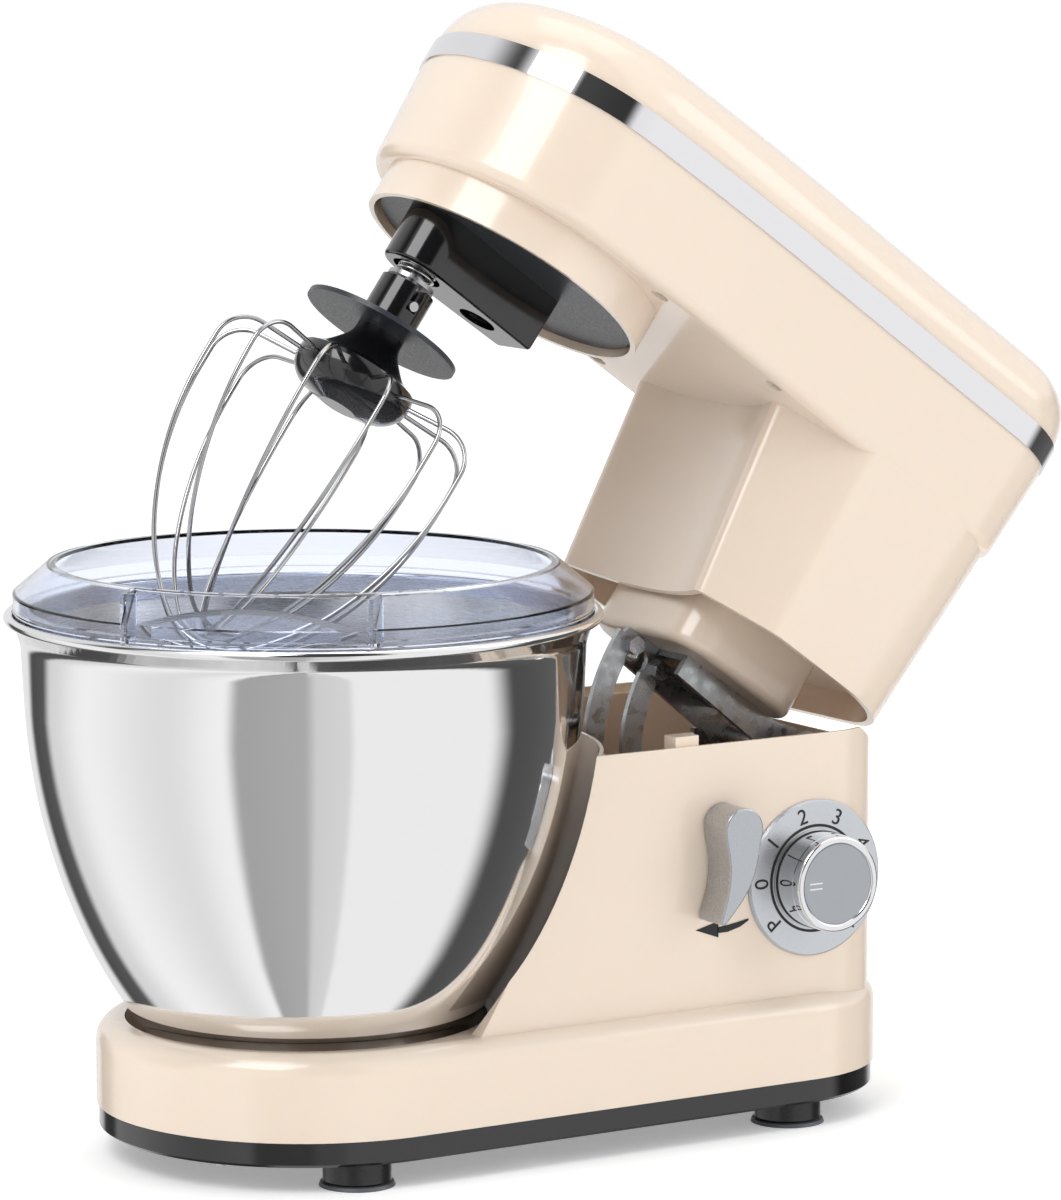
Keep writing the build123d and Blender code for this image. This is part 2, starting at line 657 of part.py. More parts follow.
with BuildPart() as hinge_arms:
    for side in (-1, 1):
        with BuildSketch(Plane.XZ.offset(-side * 19)):
            with BuildLine():
                Polyline(
                    (152, 141), (152, POD_LOW), (204, POD_LOW), (HINGE_X, 153), (226, HINGE_Z),
                    (HINGE_X, 135), (204, 138), close=True,
                )
            make_face()
            with Locations((HINGE_X, HINGE_Z)):
                Circle(9)
                Circle(PIN_R + RUNNING, mode=Mode.SUBTRACT)
        extrude(amount=-side * 3)
    with BuildSketch(Plane.XY.offset(POD_LOW)):
        with Locations((176, 0)):
            Rectangle(48, 43.9)
    extrude(amount=-2.5)
hinge_arms.part.move(RAISED)
hinge_arms.part.label = "hinge_arms"
export_step(hinge_arms.part, "parts/hinge_arms.step")

# the lock quadrant: a slotted plate bent round the hinge pin, which the latch shaft runs in
SLOT_R = hypot(LEVER_X - HINGE_X, LEVER_Z - HINGE_Z)
QUADRANT_SHUT = 183.0  # angle of the slot's closed end about the hinge, head shut
QUADRANT_START = 178.0
QUADRANT_END = 230.0
with BuildPart() as lock_quadrant:
    with BuildSketch(Plane.XZ.offset(-1.25)):
        with BuildLine():
            outer = CenterArc((HINGE_X, HINGE_Z), SLOT_R + 14, QUADRANT_START, QUADRANT_END - QUADRANT_START)
            inner = CenterArc((HINGE_X, HINGE_Z), SLOT_R - 14, QUADRANT_START, QUADRANT_END - QUADRANT_START)
            Line(outer @ 0, inner @ 0)
            Line(outer @ 1, inner @ 1)
        make_face()
        with BuildLine():
            Polyline((131, 142), (134, 149.9), (151.5, 149.9), (151.5, 142), close=True)
        make_face()
        with BuildLine():
            high = CenterArc((HINGE_X, HINGE_Z), SLOT_R + 4.6, QUADRANT_SHUT, 60)
            low = CenterArc((HINGE_X, HINGE_Z), SLOT_R - 4.6, QUADRANT_SHUT, 60)
            Line(high @ 0, low @ 0)
            Line(high @ 1, low @ 1)
        make_face(mode=Mode.SUBTRACT)
        shut = radians(QUADRANT_SHUT)
        with Locations((HINGE_X + SLOT_R * cos(shut), HINGE_Z + SLOT_R * sin(shut))):
            Circle(5.6, mode=Mode.SUBTRACT)
    extrude(amount=2.5)
lock_quadrant.part.move(RAISED)
lock_quadrant.part.label = "lock_quadrant"
export_step(lock_quadrant.part, "parts/lock_quadrant.step")

with BuildPart() as quadrant_bolts:
    for x, z in ((139, 144.4), (156, 142.4)):
        with BuildSketch(Plane.XZ.offset(1.25)):
            with Locations((x, z)):
                RegularPolygon(4, 6)
        extrude(amount=4)
        with BuildSketch(Plane.XZ.offset(-1.25)):
            with Locations((x, z)):
                Circle(4.4)
        extrude(amount=-3)
quadrant_bolts.part.move(RAISED)
quadrant_bolts.part.label = "quadrant_bolts"
export_step(quadrant_bolts.part, "parts/quadrant_bolts.step")

with BuildPart() as return_spring:
    for i in range(7):
        with Locations(Plane(origin=(146.5, 8 + 1.5 * i, 144.2), z_dir=(0, 1, 0))):
            Torus(4.6, 0.6)
return_spring.part.move(RAISED)
return_spring.part.label = "return_spring"
export_step(return_spring.part, "parts/return_spring.step")

# ---------------------------------------------------------------- drive train


def involute(angle):
    """The angle that an involute has turned through where its pressure angle is the one given."""
    return tan(angle) - angle


def gear_outline(teeth, tip, root, widen):
    """Corner points of a gear with straight-sided chords along its involute flanks."""
    pitch = MODULE * teeth / 2
    base = pitch * cos(radians(20))
    points = []
    for tooth in range(teeth):
        middle = 2 * pi * tooth / teeth
        for side in (-1, 1):
            flank = []
            for r in (root, max(base, root + 0.2), pitch, (pitch + tip) / 2, tip):
                roll = acos(min(1, base / r))
                half = pi / (2 * teeth) + widen / pitch + involute(radians(20)) - involute(roll)
                flank.append((r * cos(middle + side * half), r * sin(middle + side * half)))
            points += flank if side < 0 else flank[::-1]
    return points


with BuildPart() as ring_gear:
    with BuildSketch(Plane.XY.offset(DISC_Z + 8)):
        Circle(55)
        with BuildLine():
            Polyline(*gear_outline(RING_TEETH, 46.8, 43.9, 0.12), close=True)
        make_face(mode=Mode.SUBTRACT)
    extrude(amount=12)
ring_gear.part.move(RAISED)
ring_gear.part.label = "ring_gear"
export_step(ring_gear.part, "parts/ring_gear.step")

BOSS_TOP = CHASSIS_Z + 24
PULLEY_Z = DISC_Z + 50
with BuildPart() as gear_chassis:
    with BuildSketch(Plane.XY.offset(CHASSIS_Z)):
        Circle(57)
        with Locations((80, 0)):
            Rectangle(240, 84)
        with Locations((63, 0)):
            Rectangle(90, 138)
        add(head_plan(2.5 + WALL + 2), mode=Mode.INTERSECT)
        with Locations((MOTOR_X, 0)):
            Circle(7, mode=Mode.SUBTRACT)
        with Locations(*HEAD_SCREWS):
            Circle(1.8, mode=Mode.SUBTRACT)
    extrude(amount=6)
    with BuildSketch(Plane.XY.offset(CHASSIS_Z)):
        Circle(18)
    extrude(amount=BOSS_TOP - CHASSIS_Z)
    with BuildSketch(Plane.XY.offset(CHASSIS_Z)):
        Circle(13)
    extrude(amount=30, mode=Mode.SUBTRACT)
gear_chassis.part.move(RAISED)
gear_chassis.part.label = "gear_chassis"
export_step(gear_chassis.part, "parts/gear_chassis.step")

with BuildPart() as carrier_bearings:
    for z in (CHASSIS_Z, BOSS_TOP - 7):
        with BuildSketch(Plane.XY.offset(z)):
            Circle(13)
            Circle(6 + RUNNING, mode=Mode.SUBTRACT)
        extrude(amount=7)
carrier_bearings.part.move(RAISED)
carrier_bearings.part.label = "carrier_bearings"
export_step(carrier_bearings.part, "parts/carrier_bearings.step")

with BuildPart() as drive_belt:
    with BuildSketch(Plane.XY.offset(PULLEY_Z + 1)):
        with BuildLine():
            big = CenterArc((0, 0), 34.5, 90, 180)
            small = CenterArc((MOTOR_X, 0), 10.1, -90, 180)
            Line(big @ 0, small @ 1)
            Line(big @ 1, small @ 0)
        make_face()
        with BuildLine():
            big = CenterArc((0, 0), 32.9, 90, 180)
            small = CenterArc((MOTOR_X, 0), 8.5, -90, 180)
            Line(big @ 0, small @ 1)
            Line(big @ 1, small @ 0)
        make_face(mode=Mode.SUBTRACT)
    extrude(amount=8)
drive_belt.part.move(RAISED)
drive_belt.part.label = "drive_belt"
export_step(drive_belt.part, "parts/drive_belt.step")

FRAME_LOW = 183.0
FRAME_HIGH = 240.0
STATOR_Z = 190.0
with BuildPart() as motor_stator:
    with BuildSketch(Plane.XY.offset(STATOR_Z)):
        with Locations((MOTOR_X, 0)):
            RectangleRounded(58, 58, 12)
            Circle(20.2, mode=Mode.SUBTRACT)
    extrude(amount=42)
motor_stator.part.move(RAISED)
motor_stator.part.label = "motor_stator"
export_step(motor_stator.part, "parts/motor_stator.step")

with BuildPart() as motor_frame:
    for z in (FRAME_LOW, FRAME_HIGH):
        with BuildSketch(Plane.XY.offset(z)):
            with Locations((MOTOR_X, 0)):
                RectangleRounded(70, 22, 5)
                Circle(4 + RUNNING, mode=Mode.SUBTRACT)
        extrude(amount=4)
    for x in (MOTOR_X - 32.2, MOTOR_X + 32.2):
        with BuildSketch(Plane.XY.offset(FRAME_LOW)):
            with Locations((x, 0)):
                Rectangle(5, 16)
        extrude(amount=FRAME_HIGH + 3 - FRAME_LOW)
motor_frame.part.move(RAISED)
motor_frame.part.label = "motor_frame"
export_step(motor_frame.part, "parts/motor_frame.step")

with BuildPart() as motor_shaft:
    with BuildSketch(Plane.XY.offset(FRAME_LOW)):
        with Locations((MOTOR_X, 0)):
            Circle(4)
    extrude(amount=PULLEY_Z + 12 - FRAME_LOW)
motor_shaft.part.move(RAISED)
motor_shaft.part.label = "motor_shaft"
export_step(motor_shaft.part, "parts/motor_shaft.step")

with BuildPart() as motor_rotor:
    with BuildSketch(Plane.XY.offset(STATOR_Z + 1)):
        with Locations((MOTOR_X, 0)):
            Circle(19.6)
            with PolarLocations(18.6, 12):
                Circle(1.6, mode=Mode.SUBTRACT)
            Circle(4, mode=Mode.SUBTRACT)
    extrude(amount=40)
    with BuildSketch(Plane.XY.offset(STATOR_Z + 41)):
        with Locations((MOTOR_X, 0)):
            Circle(11)
            Circle(4, mode=Mode.SUBTRACT)
    extrude(amount=8)
motor_rotor.part.move(RAISED)
motor_rotor.part.label = "motor_rotor"
export_step(motor_rotor.part, "parts/motor_rotor.step")

with BuildPart() as cooling_fan:
    with BuildSketch(Plane.XY.offset(CHASSIS_Z + 8)):
        with Locations((MOTOR_X, 0)):
            Circle(28)
            Circle(4, mode=Mode.SUBTRACT)
    extrude(amount=1.6)
    with BuildSketch(Plane.XY.offset(CHASSIS_Z + 8)):
        with Locations((MOTOR_X, 0)):
            Circle(8)
            Circle(4, mode=Mode.SUBTRACT)
    extrude(amount=10)
    with BuildSketch(Plane.XY.offset(CHASSIS_Z + 9)):
        with Locations((MOTOR_X, 0)):
            with PolarLocations(17.5, 10):
                Rectangle(20, 1.4)
    extrude(amount=9)
cooling_fan.part.move(RAISED)
cooling_fan.part.label = "cooling_fan"
export_step(cooling_fan.part, "parts/cooling_fan.step")


def belt_pulley(x, radius, shaft):
    """A flanged belt pulley at x on its shaft."""
    with BuildPart(mode=Mode.PRIVATE) as pulley:
        flange = radius + 2.6
        for rise, r, height in ((-1, flange, 1.6), (0, radius, 10), (9.4, flange, 1.6)):
            with BuildSketch(Plane.XY.offset(PULLEY_Z + rise)):
                with Locations((x, 0)):
                    Circle(r)
                    Circle(shaft, mode=Mode.SUBTRACT)
            extrude(amount=height)
    return pulley.part


with BuildPart() as motor_pulley:
    add(belt_pulley(MOTOR_X, 8, 4))
motor_pulley.part.move(RAISED)
motor_pulley.part.label = "motor_pulley"
export_step(motor_pulley.part, "parts/motor_pulley.step")

with BuildPart() as carrier_pulley:
    add(belt_pulley(0, 32, 6))
carrier_pulley.part.move(RAISED)
carrier_pulley.part.label = "carrier_pulley"
export_step(carrier_pulley.part, "parts/carrier_pulley.step")

with BuildPart() as carrier_shaft:
    with BuildSketch(Plane.XY.offset(DISC_Z - 12)):
        Circle(6)
    extrude(amount=PULLEY_Z + 12 - DISC_Z + 12)
carrier_shaft.part.move(RAISED)
carrier_shaft.part.label = "carrier_shaft"
export_step(carrier_shaft.part, "parts/carrier_shaft.step")

with BuildPart() as planet_disc:
    with BuildSketch(Plane.XY.offset(DISC_Z + 3)):
        Circle(57.2)
        Circle(6, mode=Mode.SUBTRACT)
        with Locations((-OFFSET, 0)):
            Circle(SPINDLE_R + 1, mode=Mode.SUBTRACT)
    extrude(amount=3)
planet_disc.part.move(RAISED)
planet_disc.part.label = "planet_disc"
export_step(planet_disc.part, "parts/planet_disc.step")

# the black arm under the disc: round about the spindle, squared off past the drive axis
ARM_LOW = DISC_Z - 20
with BuildPart() as planet_arm:
    with BuildSketch(Plane.XY.offset(DISC_Z + 3)) as arm_plan:
        with BuildLine():
            nose = CenterArc((-OFFSET, 0), 15.5, 90, 180)
            Polyline(nose @ 0, (22, 12.5), (22, -12.5), nose @ 1)
        make_face()
        fillet(arm_plan.vertices().group_by(Axis.X)[-1], 2.5)
    extrude(amount=-23, taper=1)
    fillet(planet_arm.edges().group_by(Axis.Z)[0], 1.5)
    with BuildSketch(Plane.XY.offset(ARM_LOW - 1)):
        with Locations((-OFFSET, 0)):
            Circle(10.5)
        Circle(8)
    extrude(amount=8, mode=Mode.SUBTRACT)
    with BuildSketch(Plane.XY.offset(ARM_LOW)):
        with Locations((-OFFSET, 0)):
            Circle(SPINDLE_R + RUNNING)
    extrude(amount=30, mode=Mode.SUBTRACT)
    with BuildSketch(Plane.XY.offset(DISC_Z - 12)):
        Circle(6)
    extrude(amount=30, mode=Mode.SUBTRACT)
    with BuildSketch(Plane.XY.offset(ARM_LOW)):
        Circle(2.5)
    extrude(amount=30, mode=Mode.SUBTRACT)
planet_arm.part.move(RAISED)
planet_arm.part.label = "planet_arm"
export_step(planet_arm.part, "parts/planet_arm.step")

with BuildPart() as arm_screw:
    with BuildSketch(Plane.XY.offset(ARM_LOW + 7)):
        Circle(4.5)
    extrude(amount=-3.4)
    fillet(arm_screw.edges().group_by(Axis.Z)[0], 1)
    with BuildSketch(Plane.XY.offset(ARM_LOW + 3)):
        Rectangle(6, 1.2)
        Rectangle(1.2, 6)
    extrude(amount=2.2, mode=Mode.SUBTRACT)
    with BuildSketch(Plane.XY.offset(ARM_LOW + 7)):
        Circle(2.5)
    extrude(amount=1)
arm_screw.part.move(RAISED)
arm_screw.part.label = "arm_screw"
export_step(arm_screw.part, "parts/arm_screw.step")

# ---------------------------------------------------------------- beater spindle

PIN_LOW = DISC_Z - 35
with BuildPart() as spindle_shaft:
    with BuildSketch(level(-OFFSET, DISC_Z - 45)):
        Circle(SPINDLE_R)
    extrude(amount=45 + 19)
    with Locations((-OFFSET, 0, PIN_LOW)):
        Cylinder(2, 30, rotation=(90, 0, 0), mode=Mode.SUBTRACT)
spindle_shaft.part.move(RAISED)
spindle_shaft.part.label = "spindle_shaft"
export_step(spindle_shaft.part, "parts/spindle_shaft.step")

with BuildPart() as cross_pin:
    with BuildSketch(Plane(origin=(-OFFSET, -12.5, PIN_LOW), x_dir=(1, 0, 0), z_dir=(0, 1, 0))):
        Circle(2)
    extrude(amount=25)
cross_pin.part.move(RAISED)
cross_pin.part.label = "cross_pin"
export_step(cross_pin.part, "parts/cross_pin.step")

with BuildPart() as planet_pinion:
    with BuildSketch(level(-OFFSET, DISC_Z + 8)):
        with BuildLine():
            # a tooth points at the ring: half of the teeth's even count lies on the far side
            Polyline(*gear_outline(PINION_TEETH, 11.5, 8.7, -0.12), close=True)
        make_face()
        Circle(SPINDLE_R, mode=Mode.SUBTRACT)
    extrude(amount=10)
planet_pinion.part.move(RAISED)
planet_pinion.part.label = "planet_pinion"
export_step(planet_pinion.part, "parts/planet_pinion.step")

with BuildPart() as spindle_spring:
    for i in range(5):
        with Locations((-OFFSET, 0, DISC_Z - 14.4 - 2.0 * i)):
            Torus(7.6, 0.75)
spindle_spring.part.move(RAISED)
spindle_spring.part.label = "spindle_spring"
export_step(spindle_spring.part, "parts/spindle_spring.step")

with BuildPart() as spindle_washer:
    with BuildSketch(level(-OFFSET, DISC_Z - 25.6)):
        Circle(10)
        Circle(SPINDLE_R, mode=Mode.SUBTRACT)
    extrude(amount=1.8)
spindle_washer.part.move(RAISED)
spindle_washer.part.label = "spindle_washer"
export_step(spindle_washer.part, "parts/spindle_washer.step")

# ---------------------------------------------------------------- whisk

WIRE_R = 0.9
LOOPS = 6
with BuildPart() as whisk_hub:
    with BuildSketch(Plane(origin=(-OFFSET, 0, DISC_Z), x_dir=(1, 0, 0), z_dir=(0, 1, 0))):
        with BuildLine():
            Polyline(
                (0, 46), (SPINDLE_R + RUNNING, 46), (SPINDLE_R + RUNNING, 27), (11.5, 27), (11.5, 46.8),
                (10, 46.8), (10, 50),
            )
            Spline((10, 50), (13, 57), (24.5, 66), tangents=((0, 1), (1, 0.35)))
            ThreePointArc((24.5, 66), (24.5, 74), (18, 80.5))
            Polyline((18, 80.5), (8, 83), (0, 83), (0, 46))
        make_face()
    revolve(axis=Axis((-OFFSET, 0, 0), (0, 0, 1)))
    with Locations((-OFFSET, 0, DISC_Z - 32)):
        Box(4.8, 40, 10.6, mode=Mode.SUBTRACT)
whisk_hub.part.move(RAISED)
whisk_hub.part.label = "whisk_hub"
export_step(whisk_hub.part, "parts/whisk_hub.step")

with BuildPart() as whisk_disc:
    with BuildSketch(level(-OFFSET, DISC_Z - 49)):
        Circle(33)
        Circle(10, mode=Mode.SUBTRACT)
    extrude(amount=2)
whisk_disc.part.move(RAISED)
whisk_disc.part.label = "whisk_disc"
export_step(whisk_disc.part, "parts/whisk_disc.step")


def whisk_loop(depth):
    """One wire loop about the Z axis: out of the hub, over the shoulder, down and round the tip."""
    sweep_down = [(None, 23), (14, 90), (None, 0.1 + depth), (136, 28), (95, 22)]
    runs = sweep_down + [(28.5, 80)] + sweep_down[::-1]
    x, z, heading = 20.0, -71.0, 0.0
    with BuildPart(mode=Mode.PRIVATE) as loop:
        with BuildLine(Plane.XZ) as route:
            for radius, size in runs:
                start = (x, z)
                ahead = (cos(heading), sin(heading))
                if radius is None:
                    x += size * ahead[0]
                    z += size * ahead[1]
                    Line(start, (x, z))
                else:
                    JernArc(start, ahead, radius, -size)
                    turned = heading - radians(size)
                    x += radius * (sin(heading) - sin(turned))
                    z += radius * (cos(turned) - cos(heading))
                    heading = turned
        with BuildSketch(Plane(origin=(20, 0, -71), z_dir=(1, 0, 0))):
            Circle(WIRE_R)
        sweep(path=route.wires()[0])
    return loop.part


with BuildPart() as whisk_wires:
    for i in range(LOOPS):
        with Locations(Location((-OFFSET, 0, DISC_Z), (0, 0, 15 + 180 / LOOPS * i))):
            add(whisk_loop(1.95 * i))
whisk_wires.part.move(RAISED)
whisk_wires.part.label = "whisk_wires"
export_step(whisk_wires.part, "parts/whisk_wires.step")
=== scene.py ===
"""A tilt-head stand mixer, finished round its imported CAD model."""

from math import cos, pi, radians, sin

import bmesh
import bpy
from mathutils import Matrix, Vector


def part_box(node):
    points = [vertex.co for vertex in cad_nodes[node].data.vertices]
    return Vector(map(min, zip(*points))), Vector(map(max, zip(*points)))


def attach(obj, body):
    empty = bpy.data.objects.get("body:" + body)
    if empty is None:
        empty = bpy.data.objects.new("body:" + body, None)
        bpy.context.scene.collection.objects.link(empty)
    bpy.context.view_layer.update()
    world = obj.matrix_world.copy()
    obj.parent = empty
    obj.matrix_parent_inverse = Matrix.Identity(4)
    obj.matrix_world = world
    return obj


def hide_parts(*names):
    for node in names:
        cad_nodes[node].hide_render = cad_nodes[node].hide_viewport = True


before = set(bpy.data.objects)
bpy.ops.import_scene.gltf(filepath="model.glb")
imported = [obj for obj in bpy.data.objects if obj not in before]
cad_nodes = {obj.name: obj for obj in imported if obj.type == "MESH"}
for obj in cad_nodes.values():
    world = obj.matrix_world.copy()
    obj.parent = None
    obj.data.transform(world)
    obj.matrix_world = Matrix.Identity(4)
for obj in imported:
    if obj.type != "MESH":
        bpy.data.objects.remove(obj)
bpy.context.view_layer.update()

# ---------------------------------------------------------------- base tray, its screws and feet
# The tray is a shallow moulding in glossy black plastic that closes the housing from below.
# Six screws hold it, and four posts moulded on it carry soft grey suction cups.


def new_finish(name, colour, roughness, metallic=0.0, grain=250.0, spread=0.04, bump=0.02, stretch=(1, 1, 1)):
    """A material whose roughness and surface vary with fine grain; grain is in bumps per metre."""
    material = bpy.data.materials.new(name)
    material.use_nodes = True
    tree = material.node_tree
    shader = tree.nodes["Principled BSDF"]
    shader.inputs["Base Color"].default_value = (*colour, 1)
    shader.inputs["Metallic"].default_value = metallic
    place = tree.nodes.new("ShaderNodeTexCoord")
    mapping = tree.nodes.new("ShaderNodeMapping")
    mapping.name = "grain place"
    mapping.inputs["Scale"].default_value = stretch
    noise = tree.nodes.new("ShaderNodeTexNoise")
    noise.name = "grain"
    noise.inputs["Scale"].default_value = grain
    noise.inputs["Detail"].default_value = 3
    level = tree.nodes.new("ShaderNodeMapRange")
    level.inputs["From Min"].default_value = 0.3
    level.inputs["From Max"].default_value = 0.7
    level.inputs["To Min"].default_value = max(0.01, roughness - spread)
    level.inputs["To Max"].default_value = roughness + spread
    relief = tree.nodes.new("ShaderNodeBump")
    relief.name = "relief"
    relief.inputs["Strength"].default_value = bump
    relief.inputs["Distance"].default_value = 0.0005
    tree.links.new(place.outputs["Object"], mapping.inputs["Vector"])
    tree.links.new(mapping.outputs["Vector"], noise.inputs["Vector"])
    tree.links.new(noise.outputs["Fac"], level.inputs["Value"])
    tree.links.new(level.outputs["Result"], shader.inputs["Roughness"])
    tree.links.new(noise.outputs["Fac"], relief.inputs["Height"])
    tree.links.new(relief.outputs["Normal"], shader.inputs["Normal"])
    return material


def socket(material, name, value):
    material.node_tree.nodes["Principled BSDF"].inputs[name].default_value = value


def paint(material, *names):
    """Gives CAD nodes their finish."""
    for name in names:
        if not cad_nodes[name].material_slots:
            cad_nodes[name].data.materials.append(material)
        cad_nodes[name].material_slots[0].material = material


gloss_black = new_finish("gloss_black", (0.006, 0.006, 0.007), 0.12, grain=120, spread=0.04, bump=0.01)
socket(gloss_black, "Coat Weight", 0.5)
socket(gloss_black, "Coat Roughness", 0.04)
black_posts = new_finish("black_posts", (0.012, 0.012, 0.013), 0.3, grain=500, spread=0.06, bump=0.05)
cup_rubber = new_finish("cup_rubber", (0.10, 0.105, 0.12), 0.42, grain=900, spread=0.1, bump=0.1)
screw_steel = new_finish("screw_steel", (0.5, 0.5, 0.52), 0.3, 1.0, grain=900, spread=0.1, bump=0.08)
paint(gloss_black, "base_tray")
paint(black_posts, "foot_posts")
paint(cup_rubber, "suction_cups")
paint(screw_steel, "base_screws")

# ---------------------------------------------------------------- housing
# Base and column are one glossy injection moulding in cream ABS, about 3 mm thick.
# The moulded skin has the faint waviness of a polished tool and a clear, hard shine.

cream = new_finish("cream_gloss", (0.83, 0.695, 0.575), 0.2, grain=30, spread=0.03, bump=0.03)
socket(cream, "Coat Weight", 0.6)
socket(cream, "Coat Roughness", 0.06)
socket(cream, "Subsurface Weight", 0.12)
socket(cream, "Subsurface Radius", (0.006, 0.004, 0.002))
socket(cream, "Subsurface Scale", 1.0)
paint(cream, "stand_housing", "bowl_seat_ring")

# ---------------------------------------------------------------- lead gland, board and switch
# Behind the walls are the speed board on its posts and the rotary switch.
# A black gland in the rear wall is where the lead goes in.

board_green = new_finish("board_green", (0.02, 0.12, 0.05), 0.35, grain=300, spread=0.05, bump=0.1)
paint(board_green, "control_board")
paint(black_posts, "board_posts", "rotary_switch", "cord_gland", "lever_bush")

# ---------------------------------------------------------------- dial plate with its numbers
# A satin silver disc is stuck to the side wall of the column, with a black ring round the knob that is
# painted shade for the shadow gap under the knob's skirt.
# Speeds are printed round it in black: P for the pulse position first, then 0 to 6 clockwise.


def to_mesh(bm, name):
    """Turns a finished bmesh into a named mesh and frees it."""
    made = bpy.data.meshes.new(name)
    bm.to_mesh(made)
    bm.free()
    return made


def add_piece(name, mesh, material, body, replaced=()):
    """Puts a finished mesh in the scene, riding on its body and standing for the CAD nodes named."""
    mesh.name = name
    piece = bpy.data.objects.new(name, mesh)
    bpy.context.scene.collection.objects.link(piece)
    if material is not None:
        mesh.materials.clear()
        mesh.materials.append(material)
    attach(piece, body)
    if replaced:
        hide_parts(*replaced)
    return piece


dial_low, dial_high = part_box("dial_plate")
dial_middle = Vector(((dial_low.x + dial_high.x) / 2, dial_low.y, (dial_low.z + dial_high.z) / 2))
satin_plate = new_finish("satin_plate", (0.62, 0.64, 0.67), 0.34, 0.9, grain=1500, spread=0.08, bump=0.06)
paint(satin_plate, "dial_plate")
# This black serves the printed speeds and arrow, and also the painted shadow ring round the knob.
print_and_shadow_black = new_finish("print_and_shadow_black", (0.01, 0.01, 0.011), 0.45, grain=900, spread=0.05, bump=0.03)

NUMBER_R = 0.0258
NUMBER_SIZE = 0.0092
NUMBER_STEP = 38  # degrees between neighbouring speeds; 0 stands at the left
PULSE_SHIFT = 2  # P stands this much further round than one step
for count, letter in enumerate("P0123456"):
    angle = radians(180 - NUMBER_STEP * (count - 1) + (PULSE_SHIFT if letter == "P" else 0))
    font = bpy.data.curves.new(f"speed_{letter}", "FONT")
    font.body = letter
    font.size = NUMBER_SIZE
    font.extrude = 0.00008
    font.align_x = "CENTER"
    font.align_y = "CENTER"
    shape = bpy.data.objects.new("shape", font)
    bpy.context.scene.collection.objects.link(shape)
    mesh = bpy.data.meshes.new_from_object(shape)
    bpy.data.objects.remove(shape)
    spot = dial_middle + Vector((cos(angle), 0, sin(angle))) * NUMBER_R + Vector((0, -0.0001, 0))
    upright = Matrix.Rotation(pi / 2 - angle, 4, "Y") @ Matrix.Rotation(pi / 2, 4, "X")
    mesh.transform(Matrix.Translation(spot) @ upright)
    add_piece(f"speed_mark_{letter}", mesh, print_and_shadow_black, "stand")

# A flat black ring just proud of the plate is painted shade: it stands for the shadow gap between the knob's
# skirt and the dial plate.
SHADOW_RING_R = 0.0209
SHADOW_RING_WIDTH = 0.0011
SHADOW_RING_RISE = 0.0002
shadow_ring_bm = bmesh.new()
corners = ((0, 0), (SHADOW_RING_WIDTH, 0), (SHADOW_RING_WIDTH, SHADOW_RING_RISE), (0, SHADOW_RING_RISE))
section = [shadow_ring_bm.verts.new((SHADOW_RING_R + wide, 0, rise)) for wide, rise in corners]
for i in range(4):
    shadow_ring_bm.edges.new((section[i - 1], section[i]))
bmesh.ops.spin(
    shadow_ring_bm, geom=shadow_ring_bm.verts[:] + shadow_ring_bm.edges[:], cent=(0, 0, 0), axis=(0, 0, 1), angle=2 * pi,
    steps=96, use_merge=True,
)
bmesh.ops.remove_doubles(shadow_ring_bm, verts=shadow_ring_bm.verts, dist=0.00001)
bmesh.ops.recalc_face_normals(shadow_ring_bm, faces=shadow_ring_bm.faces)
shadow_ring_mesh = to_mesh(shadow_ring_bm, "dial_shadow_ring")
shadow_ring_mesh.transform(Matrix.Translation(dial_middle) @ Matrix.Rotation(pi / 2, 4, "X"))
add_piece("dial_shadow_ring", shadow_ring_mesh, print_and_shadow_black, "stand")

# ---------------------------------------------------------------- speed knob
# A polished skirt carries a chrome ring and a satin grey cap.
# A raised double line on the cap points at the speed.

polished = new_finish("polished_steel", (0.84, 0.84, 0.84), 0.06, 1.0, grain=60, spread=0.02, bump=0.004)
chrome = new_finish("chrome", (0.82, 0.82, 0.84), 0.04, 1.0, grain=60, spread=0.01, bump=0.003)
satin_cap = new_finish("satin_cap", (0.42, 0.44, 0.47), 0.36, 0.85, grain=1800, spread=0.08, bump=0.05)
paint(polished, "knob_body")
paint(chrome, "knob_ring")
paint(satin_cap, "knob_cap")

cap_low, cap_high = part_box("knob_cap")
mark_bm = bmesh.new()
for rise in (-0.0011, 0.0011):
    bar = Matrix.Translation((dial_middle.x - 0.0105, cap_low.y, dial_middle.z + rise)) @ Matrix.Diagonal(
        (0.0062, 0.0003, 0.0006, 1)
    )
    bmesh.ops.create_cube(mark_bm, size=1, matrix=bar)
add_piece("knob_pointer", to_mesh(mark_bm, "knob_pointer"), chrome, "knob")

# ---------------------------------------------------------------- release lever
# A cast metal lever with a satin grey finish, on a plain steel shaft with its latch cam.
# A black arrow printed under it on the wall shows which way it turns.

lever_face = new_finish("lever_face", (0.5, 0.52, 0.55), 0.3, 1.0, grain=1500, spread=0.06, bump=0.04)
paint(lever_face, "release_lever")

wall_y = dial_high.y - 0.0002
arrow_bm = bmesh.new()
